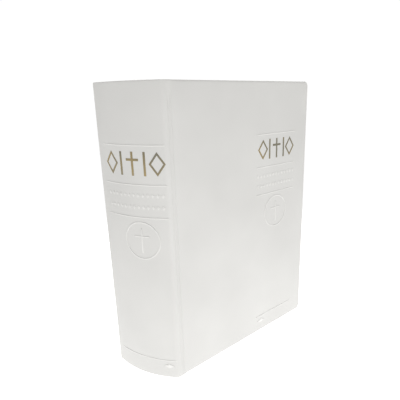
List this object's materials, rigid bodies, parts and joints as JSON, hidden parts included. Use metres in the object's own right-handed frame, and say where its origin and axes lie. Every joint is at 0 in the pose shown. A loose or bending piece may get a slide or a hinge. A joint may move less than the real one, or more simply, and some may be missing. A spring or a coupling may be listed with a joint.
{
  "type": "bible",
  "caption": "Thick case-bound bible in white imitation leather with a rounded spine, standing on its tail edge with hinged covers slightly open and pages that fan with them.",
  "frame": {"origin": "middle of the standing book's outline, on the surface under its tail edge", "axes": "+Z from tail to head, +X from the spine to the fore edge, the front cover on the -Y side"},
  "size_m": [0.1408, 0.166, 0.21],
  "materials": {
    "cover_leather": "satin white imitation leather with a very fine soft grain",
    "gold_foil": "satin hot-stamped pale gold foil",
    "cover_board": "matte grey-brown binder's board",
    "kraft_paper": "matte brown kraft paper",
    "mull_gauze": "matte open-weave cotton gauze",
    "sewing_tape": "matte woven cotton tape",
    "headband": "satin off-white woven silk-look headband",
    "endpaper": "matte smooth white endpaper",
    "bible_paper": "matte thin off-white bible paper"
  },
  "bodies": {
    "root": {"spine_skin": "cover_leather", "spine_relief": "cover_leather", "spine_foil": "gold_foil", "spine_inlay": "cover_board", "kraft_lining": "kraft_paper", "mull": "mull_gauze", "sewing_tapes": "sewing_tape", "headband_head": "headband", "headband_tail": "headband", "sewn_back": "bible_paper", "signature_1": "bible_paper", "signature_2": "bible_paper", "signature_3": "bible_paper", "signature_4": "bible_paper", "signature_5": "bible_paper", "signature_6": "bible_paper", "front_joint_skin": "cover_leather", "front_gutter": "bible_paper", "back_joint_skin": "cover_leather", "back_gutter": "bible_paper"},
    "front_cover": {"front_cover_skin": "cover_leather", "front_board": "cover_board", "front_pastedown": "endpaper", "front_relief": "cover_leather", "front_foil": "gold_foil"},
    "back_cover": {"back_cover_skin": "cover_leather", "back_board": "cover_board", "back_pastedown": "endpaper"},
    "front_flyleaf": {"front_flyleaf": "endpaper"},
    "front_bundle_1": {"front_pages_1": "bible_paper"},
    "front_bundle_2": {"front_pages_2": "bible_paper"},
    "front_bundle_3": {"front_pages_3": "bible_paper"},
    "front_bundle_4": {"front_pages_4": "bible_paper"},
    "front_bundle_5": {"front_pages_5": "bible_paper"},
    "back_flyleaf": {"back_flyleaf": "endpaper"},
    "back_bundle_1": {"back_pages_1": "bible_paper"},
    "back_bundle_2": {"back_pages_2": "bible_paper"},
    "back_bundle_3": {"back_pages_3": "bible_paper"},
    "back_bundle_4": {"back_pages_4": "bible_paper"},
    "back_bundle_5": {"back_pages_5": "bible_paper"}
  },
  "joints": [
    {"name": "front_cover_hinge", "type": "hinge", "parent": "root", "child": "front_cover", "pos_m": [-0.0626, -0.02799, 0.105], "axis": [0, 0, -1], "range_deg": [-23, 152], "deforming": ["front_joint_skin", "front_gutter"]},
    {"name": "front_flyleaf_turn", "type": "hinge", "parent": "root", "child": "front_flyleaf", "pos_m": [-0.05666, -0.02414, 0.105], "axis": [0, 0, -1], "range_deg": [-15.18, 100.32]},
    {"name": "front_bundle_1_turn", "type": "hinge", "parent": "root", "child": "front_bundle_1", "pos_m": [-0.05666, -0.02244, 0.105], "axis": [0, 0, -1], "range_deg": [-12.65, 83.6]},
    {"name": "front_bundle_2_turn", "type": "hinge", "parent": "root", "child": "front_bundle_2", "pos_m": [-0.05666, -0.02014, 0.105], "axis": [0, 0, -1], "range_deg": [-10.12, 66.88]},
    {"name": "front_bundle_3_turn", "type": "hinge", "parent": "root", "child": "front_bundle_3", "pos_m": [-0.05666, -0.01724, 0.105], "axis": [0, 0, -1], "range_deg": [-7.59, 50.16]},
    {"name": "front_bundle_4_turn", "type": "hinge", "parent": "root", "child": "front_bundle_4", "pos_m": [-0.05666, -0.01374, 0.105], "axis": [0, 0, -1], "range_deg": [-5.06, 33.44]},
    {"name": "front_bundle_5_turn", "type": "hinge", "parent": "root", "child": "front_bundle_5", "pos_m": [-0.05666, -0.00964, 0.105], "axis": [0, 0, -1], "range_deg": [-2.53, 16.72]},
    {"name": "back_cover_hinge", "type": "hinge", "parent": "root", "child": "back_cover", "pos_m": [-0.0626, 0.02799, 0.105], "axis": [0, 0, 1], "range_deg": [-23, 152], "deforming": ["back_joint_skin", "back_gutter"]},
    {"name": "back_flyleaf_turn", "type": "hinge", "parent": "root", "child": "back_flyleaf", "pos_m": [-0.05666, 0.02414, 0.105], "axis": [0, 0, 1], "range_deg": [-15.18, 100.32]},
    {"name": "back_bundle_1_turn", "type": "hinge", "parent": "root", "child": "back_bundle_1", "pos_m": [-0.05666, 0.02244, 0.105], "axis": [0, 0, 1], "range_deg": [-12.65, 83.6]},
    {"name": "back_bundle_2_turn", "type": "hinge", "parent": "root", "child": "back_bundle_2", "pos_m": [-0.05666, 0.02014, 0.105], "axis": [0, 0, 1], "range_deg": [-10.12, 66.88]},
    {"name": "back_bundle_3_turn", "type": "hinge", "parent": "root", "child": "back_bundle_3", "pos_m": [-0.05666, 0.01724, 0.105], "axis": [0, 0, 1], "range_deg": [-7.59, 50.16]},
    {"name": "back_bundle_4_turn", "type": "hinge", "parent": "root", "child": "back_bundle_4", "pos_m": [-0.05666, 0.01374, 0.105], "axis": [0, 0, 1], "range_deg": [-5.06, 33.44]},
    {"name": "back_bundle_5_turn", "type": "hinge", "parent": "root", "child": "back_bundle_5", "pos_m": [-0.05666, 0.00964, 0.105], "axis": [0, 0, 1], "range_deg": [-2.53, 16.72]}
  ],
  "couplings": [
    {"joint": "front_flyleaf_turn", "follows": "front_cover_hinge", "ratio": 0.66},
    {"joint": "front_bundle_1_turn", "follows": "front_cover_hinge", "ratio": 0.55},
    {"joint": "front_bundle_2_turn", "follows": "front_cover_hinge", "ratio": 0.44},
    {"joint": "front_bundle_3_turn", "follows": "front_cover_hinge", "ratio": 0.33},
    {"joint": "front_bundle_4_turn", "follows": "front_cover_hinge", "ratio": 0.22},
    {"joint": "front_bundle_5_turn", "follows": "front_cover_hinge", "ratio": 0.11},
    {"joint": "back_flyleaf_turn", "follows": "back_cover_hinge", "ratio": 0.66},
    {"joint": "back_bundle_1_turn", "follows": "back_cover_hinge", "ratio": 0.55},
    {"joint": "back_bundle_2_turn", "follows": "back_cover_hinge", "ratio": 0.44},
    {"joint": "back_bundle_3_turn", "follows": "back_cover_hinge", "ratio": 0.33},
    {"joint": "back_bundle_4_turn", "follows": "back_cover_hinge", "ratio": 0.22},
    {"joint": "back_bundle_5_turn", "follows": "back_cover_hinge", "ratio": 0.11}
  ]
}
